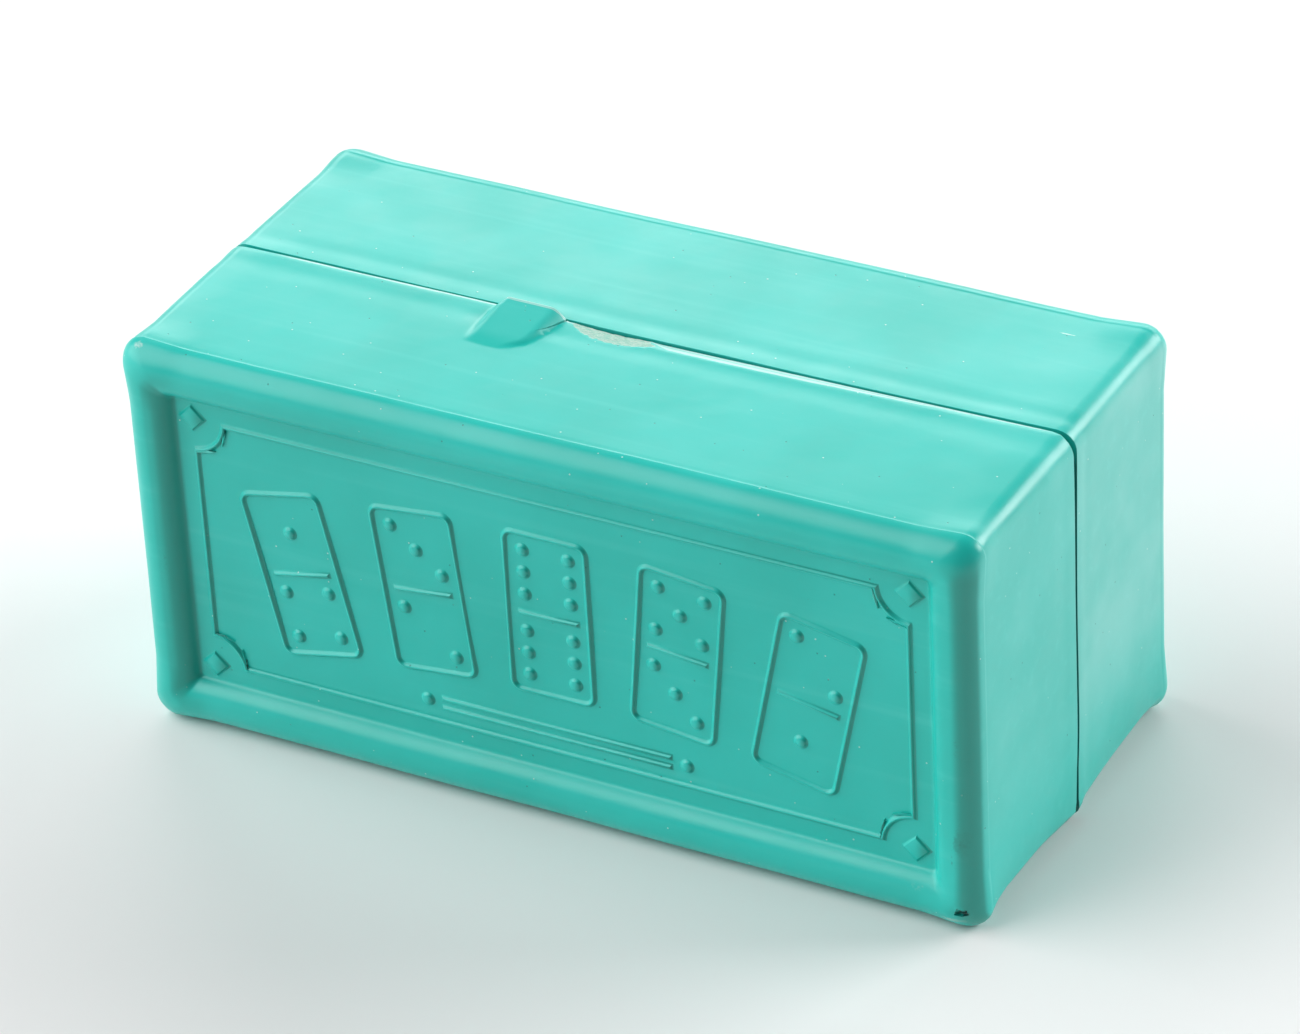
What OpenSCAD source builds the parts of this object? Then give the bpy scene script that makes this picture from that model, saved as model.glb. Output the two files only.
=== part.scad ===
// Hinged storage box for a set of dominoes, moulded in soft plastic.
// The box stands on its hinge side. X runs along its length, Y from the front face to the
// back face, Z up. The origin is under the middle of the shut box. Sizes are millimetres.

/* [Box] */
// Length of the box along its face
box_w = 110; // [96:1:130]
// Height of the box as it stands on its hinge side
box_h = 52; // [46:1:64]
// Depth of the front half, from its face to the seam
front_d = 26; // [22:1:34]
// Depth of the rear half, from its face to the seam
rear_d = 28; // [22:1:34]
// Thickness of the moulded walls and panels
wall = 1.6; // [1.2:0.1:2]
// Radius of the four long edges that run from face to face
edge_r = 3.3; // [2.8:0.1:4.5]
// Gap between the two rims when the box is shut
seam_gap = 0.4; // [0.2:0.1:0.8]

/* [Frame] */
// Radius of the rounded bead that frames each face
bead_r = 3.25; // [3:0.05:3.6]
// Depth of the flat that the box rests on, cut along each bead
bead_flat = 0.05; // [0.03:0.01:0.15]
// How far each panel lies behind its bead
panel_drop = 2.4; // [1.8:0.1:2.8]
// How far the side walls lie inside the bead
wall_sink = 0.5; // [0.5:0.05:0.7]

/* [Rim] */
// Width of the flare that brings each wall out to its rim
flare_w = 5.7; // [4:0.1:8]
// How far the rear rim lies inside the front rim
rim_step = 0.25; // [0.1:0.05:0.35]

/* [Thumb lip] */
// Where the middle of the lip stands along the box
lip_x = -13.5; // [-30:0.5:30]
// Width of the lip
lip_w = 9; // [8.8:0.1:14]
// Length of the ramp that leads up to the lip
lip_run = 9; // [8:0.5:14]
// Height of the lip over the front rim
lip_rise = 1.4; // [0.8:0.1:2.2]
// Radius of the lip's two shoulders
lip_shoulder_r = 1.2; // [0.6:0.1:1.8]

/* [Catch] */
// Width of the catch tongue
catch_w = 6; // [4:0.5:7]
// Thickness of the catch tongue
catch_t = 1.2; // [0.8:0.1:1.4]
// How far the tongue reaches past the seam
catch_reach = 4.5; // [4.2:0.1:5.5]
// How far the tongue is rooted behind the seam
catch_root = 6; // [4:0.5:9]
// Height of the barb on the tongue
barb_h = 0.55; // [0.45:0.05:0.65]

/* [Hinge] */
// Length of the film hinge
hinge_w = 91; // [60:1:91]
// Thickness of the hinge film, which folds on itself when the box is shut
film_t = 0.4; // [0.25:0.05:0.4]

/* [Raised lines] */
// Width of the raised lines on the front panel
line_w = 0.5; // [0.4:0.1:0.8]
// Height of the raised lines
line_h = 0.35; // [0.2:0.05:0.6]
// Width of each drawn tile
tile_w = 11; // [8:0.5:12]
// Distance from one drawn tile to the next
tile_pitch = 16.5; // [15:0.5:17.5]
// Tilt from one drawn tile to the next, in degrees
tile_tilt = 6; // [0:1:8]
// Diameter of the raised pips
pip_d = 1.5; // [1:0.1:1.8]

/* [Hidden] */
$fn = 64;
overlap = 0.5; // how far joined shapes and cuts run past each other
box_d = front_d + rear_d;
seam_y = (front_d - rear_d) / 2;
panel_inset = 2 * bead_r;
cavity_inset = wall_sink + wall;
cavity_d = panel_drop + wall;
corner_r = wall_sink + edge_r;
section_reach = panel_inset + 2 * overlap; // how far in from the outer face the side walls are drawn
ceiling_z = box_h - cavity_inset;

// Hinge: the fold turns in a round groove in both rims, just clear of the table.
hinge_play = 0.05;
hinge_z = wall_sink - hinge_play;

// Catch: a low ridge at the front rim, then a deeper pocket for the barb.
play = 0.3;
ridge_w = 1.8;
ridge_gap = 0.3;
pocket_rise = barb_h + 0.35;
barb_r = 0.65;
barb_y = seam_y - seam_gap / 2 - ridge_w - play - barb_r;

// Drawn tiles: upper and lower pip counts, from left to right.
tile_h = 2 * tile_w;
tile_corner_r = 1.4;
tile_bar = 0.7; // length of the middle bar, of a tile's width
tile_values = [[1, 4], [3, 2], [6, 6], [5, 3], [2, 1]];
fan_rise = 1.6;
fan_sag = 0.7;
pip_spacing = 0.27; // of a tile's width
border_inset = 2.4;
border_notch_r = 4;
diamond_w = 2.4;
rule_z = -14.2;
rule_w = 30;
rule_step = 1.3;
rule_pip_gap = 2;

// ---- One half shell, swept round from the section of its wall ----

// X runs inward from the outer face, Y back from the face of the box.
module wall_section(rim_y, rim_inset)
    difference() {
        union() {
            intersection() {
                translate([bead_r - bead_flat, bead_r]) circle(r = bead_r);
                square(2 * bead_r);
            }
            translate([wall_sink, bead_r]) square([wall, rim_y - bead_r]);
            polygon([
                [wall_sink, rim_y - flare_w], [rim_inset, rim_y],
                [cavity_inset, rim_y], [cavity_inset, rim_y - flare_w]
            ]);
            translate([bead_r, panel_drop]) square([section_reach - bead_r, wall]);
        }
        translate([cavity_inset, cavity_d]) square([section_reach, rim_y]);
        // The channel behind the bead keeps the frame near one wall thickness.
        translate([cavity_inset, wall]) square([panel_inset - wall - cavity_inset, cavity_d]);
    }

// One straight side, lying along X with its outer face down, mitred where it meets the next.
module side(length, rim_y, rim_inset) {
    half = length / 2;
    intersection() {
        rotate([0, -90, 0]) linear_extrude(height = length, center = true)
            wall_section(rim_y, rim_inset);
        translate([0, rim_y + overlap, 0]) rotate([90, 0, 0])
            linear_extrude(height = rim_y + 2 * overlap)
                polygon([
                    [corner_r - half, -overlap], [corner_r - half, corner_r],
                    [section_reach - half, section_reach], [half - section_reach, section_reach],
                    [half - corner_r, corner_r], [half - corner_r, -overlap]
                ]);
    }
}

// The lower right corner, turned about the axis where two sides meet.
module corner(rim_y, rim_inset)
    rotate([-90, 0, 0]) rotate_extrude(angle = 90)
        intersection() {
            translate([corner_r, 0]) mirror([1, 0]) wall_section(rim_y, rim_inset);
            square([corner_r + overlap, rim_y + overlap]);
        }

// A half shell with its face at Y = 0 and its rim towards +Y.
module half_shell(depth, rim_inset) {
    rim_y = depth - seam_gap / 2;
    translate([0, 0, box_h / 2]) {
        for (turn = [0, 180])
            rotate([0, turn, 0]) translate([0, 0, -box_h / 2]) side(box_w, rim_y, rim_inset);
        for (turn = [90, 270])
            rotate([0, turn, 0]) translate([0, 0, -box_w / 2]) side(box_h, rim_y, rim_inset);
        for (mx = [0, 1], mz = [0, 1])
            mirror([mx, 0, 0]) mirror([0, 0, mz])
                translate([box_w / 2 - corner_r, 0, corner_r - box_h / 2])
                    corner(rim_y, rim_inset);
    }
    upright(panel_drop, cavity_d)
        square([box_w, box_h] - 2 * (section_reach - overlap) * [1, 1], center = true);
}

// Stands a flat drawing up so that it faces forward and fills from y0 to y1.
module upright(y0, y1)
    translate([0, y1, box_h / 2]) rotate([90, 0, 0])
        linear_extrude(height = y1 - y0) children();

// Both rims are flush underneath, so that they clear each other when the box is laid open.
module hinge_cut() {
    reach_y = flare_w + seam_gap;
    translate([-box_w / 2 - overlap, seam_y - reach_y, -overlap])
        cube([box_w + 2 * overlap, 2 * reach_y, wall_sink + overlap]);
    translate([-hinge_w / 2 - play, seam_y, hinge_z]) rotate([0, 90, 0])
        cylinder(r = film_t + hinge_play, h = hinge_w + 2 * play);
}

// ---- Raised lines on the front panel ----

module rounded_plate(w, h, r) {
    square([w - 2 * r, h], center = true);
    square([w, h - 2 * r], center = true);
    for (x = [-1, 1], z = [-1, 1])
        translate([x * (w / 2 - r), z * (h / 2 - r)]) circle(r = r);
}

module pip(x, z) translate([x, z]) circle(d = pip_d);

// The pips of one half of a tile, for a count from 0 to 6.
module pips(count) {
    s = tile_w * pip_spacing;
    if (count % 2 == 1) pip(0, 0);
    if (count > 1) { pip(-s, s); pip(s, -s); }
    if (count > 3) { pip(s, s); pip(-s, -s); }
    if (count == 6) { pip(-s, 0); pip(s, 0); }
}

module drawn_tile(values) {
    difference() {
        rounded_plate(tile_w, tile_h, tile_corner_r);
        rounded_plate(tile_w - 2 * line_w, tile_h - 2 * line_w, tile_corner_r - line_w);
    }
    square([tile_w * tile_bar, line_w], center = true);
    translate([0, tile_h / 4]) pips(values[0]);
    translate([0, -tile_h / 4]) pips(values[1]);
}

module tile_fan() {
    middle = (len(tile_values) - 1) / 2;
    for (i = [0 : len(tile_values) - 1])
        translate([(i - middle) * tile_pitch, fan_rise - fan_sag * (i - middle) * (i - middle)])
            rotate((middle - i) * tile_tilt) drawn_tile(tile_values[i]);
}

// A rectangle whose corners are bitten out by circles about the points at cut_w and cut_h.
module notched_plate(w, h, cut_w, cut_h, r)
    difference() {
        square([w, h], center = true);
        for (x = [-1, 1], z = [-1, 1])
            translate([x * cut_w / 2, z * cut_h / 2]) circle(r = r);
    }

module border() {
    w = box_w - 2 * (panel_inset + border_inset);
    h = box_h - 2 * (panel_inset + border_inset);
    difference() {
        notched_plate(w, h, w, h, border_notch_r);
        notched_plate(w - 2 * line_w, h - 2 * line_w, w, h, border_notch_r + line_w);
    }
    for (x = [-1, 1], z = [-1, 1])
        translate([x * w / 2, z * h / 2]) rotate(45) square(diamond_w, center = true);
}

module double_rule()
    for (side = [-1, 1]) {
        translate([0, rule_z + side * rule_step / 2]) square([rule_w, line_w], center = true);
        translate([side * (rule_w / 2 + rule_pip_gap), rule_z]) circle(d = pip_d);
    }

module raised_lines()
    upright(panel_drop - line_h, panel_drop + overlap) {
        border();
        tile_fan();
        double_rule();
    }

// ---- Thumb lip and the pocket under it ----

module thumb_lip() {
    rim_y = front_d - seam_gap / 2;
    foot_z = box_h - wall_sink;
    top_z = box_h + lip_rise;
    root_z = foot_z - wall / 2;
    intersection() {
        translate([lip_x - lip_w / 2, 0, 0]) rotate([90, 0, 90])
            linear_extrude(height = lip_w)
                polygon([
                    [rim_y - lip_run, foot_z], [rim_y, top_z],
                    [rim_y, root_z], [rim_y - lip_run, root_z]
                ]);
        translate([lip_x, rim_y + overlap, 0]) rotate([90, 0, 0])
            linear_extrude(height = lip_run + 2 * overlap) {
                translate([-lip_w / 2, root_z - overlap])
                    square([lip_w, top_z - lip_shoulder_r - root_z + overlap]);
                translate([lip_shoulder_r - lip_w / 2, root_z])
                    square([lip_w - 2 * lip_shoulder_r, top_z - root_z]);
                for (side = [-1, 1])
                    translate([side * (lip_w / 2 - lip_shoulder_r), top_z - lip_shoulder_r])
                        circle(r = lip_shoulder_r);
            }
    }
}

module catch_pocket() {
    pocket_w = catch_w + 2 * play;
    rim_y = seam_y - seam_gap / 2;
    back_y = seam_y - catch_reach - 2 * play;
    translate([lip_x - pocket_w / 2, rim_y - ridge_w - overlap, ceiling_z - overlap])
        cube([pocket_w, ridge_w + 2 * overlap, overlap + ridge_gap]);
    translate([lip_x - pocket_w / 2, back_y, ceiling_z - overlap])
        cube([pocket_w, rim_y - ridge_w - back_y, overlap + pocket_rise]);
}

// ---- Pieces ----

module rear_shell() color("turquoise")
    difference() {
        translate([0, box_d / 2, 0]) mirror([0, 1, 0]) half_shell(rear_d, rim_step);
        hinge_cut();
    }

module front_shell() color("turquoise")
    difference() {
        translate([0, -box_d / 2, 0]) {
            half_shell(front_d, 0);
            raised_lines();
            thumb_lip();
        }
        hinge_cut();
        catch_pocket();
    }

// The folded film, two thicknesses across, on the line that the front half turns about.
module hinge_film() color("paleturquoise")
    translate([-hinge_w / 2, seam_y, hinge_z]) rotate([0, 90, 0])
        cylinder(r = film_t, h = hinge_w);

// A flat tongue under the rear half's top wall, with a round barb near its tip.
module catch_tongue() color("mediumturquoise") {
    translate([lip_x - catch_w / 2, seam_y - catch_reach, ceiling_z - catch_t])
        cube([catch_w, catch_reach + catch_root, catch_t]);
    translate([lip_x - catch_w / 2, barb_y, ceiling_z + barb_h - barb_r])
        rotate([0, 90, 0]) cylinder(r = barb_r, h = catch_w);
}

rear_shell();
front_shell();
hinge_film();
catch_tongue();
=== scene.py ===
# %% [markdown]
# # A two-part storage box in turquoise plastic
# The box is two shallow trays, moulded in one soft plastic, that meet rim to rim at an
# upright seam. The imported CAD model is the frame: its nodes give every place and size.
# This script builds finer pieces round that frame, gives each one its own material, and
# sets a plain studio. Lengths in the code are millimetres until a helper turns them to metres.

from math import asin, cos, exp, hypot, pi, radians, sin

import bmesh
import bpy
from mathutils import Matrix, Vector, noise


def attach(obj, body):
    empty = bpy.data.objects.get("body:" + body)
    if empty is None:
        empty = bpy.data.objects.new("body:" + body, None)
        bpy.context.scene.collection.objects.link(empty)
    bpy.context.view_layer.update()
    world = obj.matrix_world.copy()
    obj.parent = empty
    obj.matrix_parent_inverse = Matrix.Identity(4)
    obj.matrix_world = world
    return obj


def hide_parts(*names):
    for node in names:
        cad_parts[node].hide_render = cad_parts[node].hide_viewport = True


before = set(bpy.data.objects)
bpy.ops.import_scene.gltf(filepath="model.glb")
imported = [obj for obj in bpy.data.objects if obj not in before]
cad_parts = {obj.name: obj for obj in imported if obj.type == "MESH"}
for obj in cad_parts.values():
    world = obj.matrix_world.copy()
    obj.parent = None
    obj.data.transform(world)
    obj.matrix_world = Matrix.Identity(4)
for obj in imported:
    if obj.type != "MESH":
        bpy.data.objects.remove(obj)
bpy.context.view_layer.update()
MM = 0.001
print("nodes:", sorted(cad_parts))

# %% [markdown]
# ## Camera
# The photograph looks down on a corner of the box from the front right. Its place, aim and
# lens come from fitting the box's corners, so the camera is set as a plain matrix: three
# axes and a position. The lens is long, which keeps the box's long edges almost parallel.

# %% Camera
scene = bpy.context.scene
camera_data = bpy.data.cameras.new("studio_camera")
camera_data.sensor_fit = "HORIZONTAL"
camera_data.sensor_width = 36
camera_data.lens = 173.1
camera_data.clip_start = 0.01
camera = bpy.data.objects.new("studio_camera", camera_data)
scene.collection.objects.link(camera)
CAMERA_RIGHT = Vector((0.88288681, 0.46727682, -0.0465108))
CAMERA_UP = Vector((-0.21624252, 0.4924866, 0.84302795))
CAMERA_BACK = Vector((0.41683336, -0.73424064, 0.53585504))
CAMERA_PLACE = Vector((0.30458, -0.53654, 0.41841))
turn = Matrix((CAMERA_RIGHT, CAMERA_UP, CAMERA_BACK)).transposed()
camera.matrix_world = Matrix.Translation(CAMERA_PLACE) @ turn.to_4x4()
scene.camera = camera
print("camera is", round(CAMERA_PLACE.length, 3), "m from the origin")

# %% [markdown]
# ## Sizes
# The named sizes repeat what the CAD source says, so that the pieces fit the frame. The
# box is 110 mm long and 52 mm high, and its two halves are 26 and 28 mm deep.

# %% Sizes in millimetres
BOX_W, BOX_H, BOX_D = 110, 52, 54
FRONT_D, REAR_D = 26, 28
SEAM_Y = (FRONT_D - REAR_D) / 2
SEAM_GAP = 0.4
WALL = 1.6
WALL_SINK = 0.5
BEAD_R = 3.25
PANEL_DROP = 2.4
PANEL_INSET = 2 * BEAD_R
EDGE_R = 3.3
RIM_STEP = 0.25
LIP_X, LIP_W, LIP_RUN, LIP_RISE = -13.5, 9, 9, 1.4
MID_Z = BOX_H / 2
REAR_STEP = RIM_STEP / 2
front_rim_y = SEAM_Y - SEAM_GAP / 2
print("seam at y =", SEAM_Y, "mm, front rim at", front_rim_y)

# %% [markdown]
# ## Helpers for modelling by hand
# Every piece starts as a primitive and is shaped in edit mode. An operator works on what
# is selected, so one helper opens a piece with nothing selected, and one selects faces,
# edges or points whose middle passes a test.


# %% Helpers: open, pick and close a mesh
def only(piece):
    """Makes one object the only selected one, and the active one."""
    bpy.ops.object.select_all(action="DESELECT")
    piece.select_set(True)
    bpy.context.view_layer.objects.active = piece


def open_mesh(piece):
    only(piece)
    bpy.ops.object.mode_set(mode="EDIT")
    bpy.ops.mesh.select_all(action="DESELECT")


def close_mesh():
    bpy.ops.object.mode_set(mode="OBJECT")


def middle(part):
    """The middle of a vertex, edge or face, in millimetres."""
    if isinstance(part, bmesh.types.BMVert):
        return part.co / MM
    if isinstance(part, bmesh.types.BMFace):
        return part.calc_center_median() / MM
    return (part.verts[0].co + part.verts[1].co) / 2 / MM


def pick(piece, kind, test):
    """Selects the verts, edges or faces whose middle passes the test, and nothing else."""
    bpy.ops.mesh.select_all(action="DESELECT")
    bpy.ops.mesh.select_mode(type={"verts": "VERT", "edges": "EDGE", "faces": "FACE"}[kind])
    grid = bmesh.from_edit_mesh(piece.data)
    count = 0
    for part in getattr(grid, kind):
        if test(middle(part), part):
            part.select_set(True)
            count += 1
    grid.select_flush_mode()
    bmesh.update_edit_mesh(piece.data)
    return count


def cut(piece, axis, places, where=None):
    """Cuts the piece, or the faces that pass a test, at places along an axis."""
    for place in places:
        if where is None:
            bpy.ops.mesh.select_all(action="SELECT")
        elif not pick(piece, "faces", where):
            continue
        point, normal = Vector(), Vector()
        point[axis], normal[axis] = place * MM, 1
        bpy.ops.mesh.bisect(plane_co=point, plane_no=normal)


def apply_all(piece):
    only(piece)
    for modifier in list(piece.modifiers):
        bpy.ops.object.modifier_apply(modifier=modifier.name)


def steps(first, last, count):
    return [first + (last - first) * i / count for i in range(count + 1)]


# %% [markdown]
# ## The half shell
# Each tray is a block with its rim side open. The rounded bead round the face is made by
# insetting the face in small steps along a half circle, first outward over the crest and
# then back to the sunk panel. That leaves square mitres, which one weighted bevel rounds:
# fully along the depth edges, and ever less towards the panel, whose corners are crisp.

# %% The bead's section, as steps of inset and depth
BEAD_STEPS = 9
FILLET = 0.45


def bead_profile():
    """Points of (distance in from the outer face, distance behind the front face)."""
    outer = steps(0, pi / 2, BEAD_STEPS)
    last = pi - asin(1 - (PANEL_DROP - FILLET) / BEAD_R)
    inner = steps(pi / 2, last, BEAD_STEPS)[1:]
    points = [(BEAD_R * (1 - cos(a)), BEAD_R * (1 - sin(a))) for a in outer + inner]
    x, y = points[-1]
    # A small hollow curve takes over at the foot of the flank and meets the panel.
    points += [(x + 0.12, y + 0.24), (x + 0.26, y + 0.38), (x + 0.45, PANEL_DROP)]
    return points + [(x + 0.85, PANEL_DROP)]


BEAD = bead_profile()
print("bead points:", len(BEAD), "panel starts", round(BEAD[-2][0], 2), "mm in")


# %% A block, opened at the rim, with its bead and panel
GRID_STEP = 1.2
# Where rings of edges go: behind the face, and in front of the rim.
WALL_CUTS = [4.3, 5, 6.2, 8, 10, 12, 14, 16, 17.5]
RIM_CUTS = [6.8, 6.2, 5.7, 5.2, 4.5, 3.5, 2.6, 2, 1.6, 1.2, 0.9, 0.6, 0.3, 0.12]
# The crease behind the bead: how far behind it, and how deep. Its front side is steep.
CREASE = [(0.05, 0), (0.14, 0.08), (0.22, 0.11), (0.34, 0.1), (0.6, 0.08)]


def square_shell(name, depth):
    """A half with its face at Y = 0, its rim towards +Y and square mitres at its corners."""
    rim = depth - SEAM_GAP / 2
    bpy.ops.object.select_all(action="DESELECT")
    bpy.ops.mesh.primitive_cube_add(
        size=1,
        location=(0, (BEAD_R + rim) / 2 * MM, MID_Z * MM),
        scale=(BOX_W * MM, (rim - BEAD_R) * MM, BOX_H * MM),
    )
    piece = bpy.context.object
    piece.name = piece.data.name = name
    bpy.ops.object.transform_apply(location=True, rotation=False, scale=True)
    open_mesh(piece)
    pick(piece, "faces", lambda m, f: m.y > rim - 0.01)
    bpy.ops.mesh.delete(type="ONLY_FACE")
    crease_cuts = [BEAD_R + back for back, deep in CREASE]
    cut(piece, 1, crease_cuts + WALL_CUTS + [rim - back for back in RIM_CUTS])
    pick(piece, "faces", lambda m, f: f.normal.y < -0.9)
    for (x0, y0), (x1, y1) in zip(BEAD, BEAD[1:]):
        bpy.ops.mesh.inset(thickness=(x1 - x0) * MM, depth=(y0 - y1) * MM)
    # The straight spans get an even grid; the mitres stay clear of it.
    free = PANEL_INSET + 0.6
    half_w, half_h = BOX_W / 2 - free, MID_Z - free
    cut(piece, 0, steps(-half_w, half_w, round(2 * half_w / GRID_STEP)))
    cut(piece, 2, [MID_Z + z for z in steps(-half_h, half_h, round(2 * half_h / GRID_STEP))])
    close_mesh()
    return piece


# %% Round the mitres
def on_mitre(point):
    from_side = BOX_W / 2 - abs(point.x)
    from_top = MID_Z - abs(point.z - MID_Z)
    return abs(from_side - from_top) < 0.002 and from_side < BEAD[-2][0] + 0.01


def mitre_weight(m):
    """1 along a depth edge, less over the bead's crest, least at the panel."""
    if m.y > BEAD_R:
        return 1.0
    from_side = BOX_W / 2 - abs(m.x)
    if from_side < BEAD_R:
        return 1.0 - 0.62 * (from_side / BEAD_R) ** 1.4
    return 0.38 - 0.26 * (from_side - BEAD_R) / BEAD_R


def round_mitres(piece):
    only(piece)
    weights = piece.data.attributes.new("bevel_weight_edge", "FLOAT", "EDGE")
    points = [v.co / MM for v in piece.data.vertices]
    chain = 0
    for edge in piece.data.edges:
        a, b = (points[i] for i in edge.vertices)
        if on_mitre(a) and on_mitre(b):
            weights.data[edge.index].value = mitre_weight((a + b) / 2)
            chain += 1
    bevel = piece.modifiers.new("mitres", "BEVEL")
    bevel.limit_method = "WEIGHT"
    bevel.width = EDGE_R * MM
    bevel.segments = 8
    apply_all(piece)
    print(piece.name, "mitre edges rounded:", chain, "faces:", len(piece.data.polygons))


front = square_shell("front_half_shell", FRONT_D)
round_mitres(front)
rear = square_shell("rear_half_shell", REAR_D)
round_mitres(rear)

# %% [markdown]
# ## Real moulded walls are not straight
# Soft plastic shrinks as it cools. The corners stay put as small balls, while the beads
# between them sag inward by a third of a millimetre. A narrow crease parts each wall from
# its bead, clearly on the front half and faintly on the rear. The wall opens out again
# towards the rim, because a tray needs such a draft to leave its mould, and a faint sink
# groove runs beside the rim. Forms this slight are sculpted: every point is moved by a short
# rule, in place of a cut or an extrusion.

# %% Rules for the sag, the draft and the ball corners
SAG = 0.34
BALL_REACH = 5.0
BOTTOM_CLEAR = 6.1
GROOVE_BACK, GROOVE_DEEP = 2.9, 0.06
RIM_SHIFT = 0.35
REAR_CREASE = 0.35
PANEL_WAVE = 0.12
FRONT_SEED, REAR_SEED = 1, 31


def clamp(value):
    return min(max(value, 0.0), 1.0)


def ease(value):
    """0 to 1 with a soft start and a soft end."""
    t = clamp(value)
    return t * t * (3 - 2 * t)


def bump(x, centre, spread):
    return exp(-(((x - centre) / spread) ** 2))


def wobble(point, scale, seed):
    """A smooth random number from about -1 to 1, the same on every run."""
    return noise.noise(point / scale + Vector((seed, 0, 0))) * 2


def across(point):
    """The way across the walls, from the middle of the nearest depth edge's rounding."""
    core_x, core_z = BOX_W / 2 - EDGE_R, MID_Z - EDGE_R
    x, z = point.x, point.z - MID_Z
    return Vector((x - max(-core_x, min(core_x, x)), 0, z - max(-core_z, min(core_z, z))))


def outward(point):
    """The direction across the walls, which turns round the rounded depth edges."""
    way = across(point)
    return way.normalized() if way.length > 1e-4 else Vector()


def ball(point, back):
    """1 at a ball corner, 0 away from it."""
    dx = max(0, BOX_W / 2 - EDGE_R - abs(point.x))
    dz = max(0, MID_Z - EDGE_R - abs(point.z - MID_Z))
    dy = max(0, back - BEAD_R)
    return 1 - ease((hypot(hypot(dx, dz), dy) - 0.8) / (BALL_REACH - 0.8))


def along(table, x):
    """Reads a value from a table of points, in straight lines between them."""
    for (x0, y0), (x1, y1) in zip(table, table[1:]):
        if x0 <= x <= x1:
            return y0 + (y1 - y0) * (x - x0) / (x1 - x0)
    return table[0][1] if x < table[0][0] else table[-1][1]


def wall_inset(back, rim, rim_inset, low, crease):
    """How far the wall lies inside the bead, at a distance behind the face."""
    behind = back - BEAD_R
    sunk = crease * along(CREASE, behind) * (1 - low) + WALL_SINK * low * ease(behind / 2)
    start = BEAD_R + CREASE[-1][0]
    draft = clamp((back - start) / (rim - start)) * (1 - low)
    groove = GROOVE_DEEP * bump(rim - back, GROOVE_BACK, 1.2) * (1 - low)
    return sunk + (rim_inset - sunk) * draft + groove


def panel_wave(p, seed):
    """How far slow waves push the panel back or forth, fading out towards the bead."""
    in_from_side = min(BOX_W / 2 - abs(p.x), MID_Z - abs(p.z - MID_Z))
    return PANEL_WAVE * ease((in_from_side - PANEL_INSET - 1) / 5) * wobble(p, 24, seed + 5)


def rim_shift(p):
    """How far the seam wanders to the rear: bowed at the middle, and more on the right."""
    wander = RIM_SHIFT - 0.2 * bump(p.x, 0, 12) + 0.35 * ease((p.x - 25) / 27)
    return wander * ease(p.z / 14)


def half_gap(p):
    """Half of what the gap between the rims is wider than in the drawing."""
    side = ease((abs(p.x) - BOX_W / 2 + 3) / 3)
    gap = -0.05 + side * (0.18 + 0.14 * clamp(p.z / BOX_H) + 0.22 * bump(p.z, 1.4, 1.2))
    gap += 0.12 * bump(abs(p.x), BOX_W / 2, 6) * bump(p.z, BOX_H, 6)
    # It is pinched shut near the hinge, and opens again round the lowest corner.
    gap -= (gap + 0.14) * ease((6.5 - p.z) / 3) * ease((p.z - 2.4) / 0.9)
    return gap + 0.03 * wobble(p, 15, 9) - 0.1 * (1 - side) * ease((4 - p.z) / 3)


# %% [markdown]
# ## The thumb lip and the worn rim
# At the seam the front half carries a wedge that a thumb can push. It is a flat ramp with a
# soft left side and a rounded right shoulder. Right of it the rim is worn to a slope that
# catches the light. These are small, so only that part of the top wall gets a finer grid.

# %% Rules for the lip and the worn rim
LIP_LEFT = LIP_X - LIP_W / 2
LIP_RIGHT = LIP_X + LIP_W / 2
LIP_TOP = BOX_H + LIP_RISE - 0.1
LIP_ZONE = (LIP_LEFT - 2.4, LIP_RIGHT + 1.4)
WORN_SLOPE = 0.24


def lip_share(x, from_rim):
    """How much of the ramp stands at a place: 1 on it, 0 off it."""
    left = ease((x - LIP_LEFT + 0.6 - 0.5 * clamp(1 - from_rim / 1.5)) / 1.5)
    right_edge = LIP_RIGHT + 0.1 - 0.3 * from_rim - 1.8 * ease((from_rim - 5.6) / 3)
    shoulder = clamp((right_edge - x) / (1.0 + 1.2 * clamp(1 - from_rim / 4)))
    return left * sin(shoulder * pi / 2)


def worn_width(x):
    """Width of the worn slope along the top of the front rim."""
    right = ease((x - 1) / 2) * (1 - 0.65 * clamp((x - 12) / 32)) * (1 - ease((x - 46) / 6))
    return 0.42 + 0.8 * right


def shape_top(point, from_rim):
    """The height that the lip and the wear add to a point of the front half's top wall."""
    worn = -WORN_SLOPE * max(0, worn_width(point.x) - from_rim)
    share = lip_share(point.x, from_rim)
    foot = BOX_H - 0.3
    ramp = foot + (LIP_TOP - foot) * (1 - from_rim / LIP_RUN)
    gain = max(0, ramp - point.z) * share
    return gain + worn * (1 - share)


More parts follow.
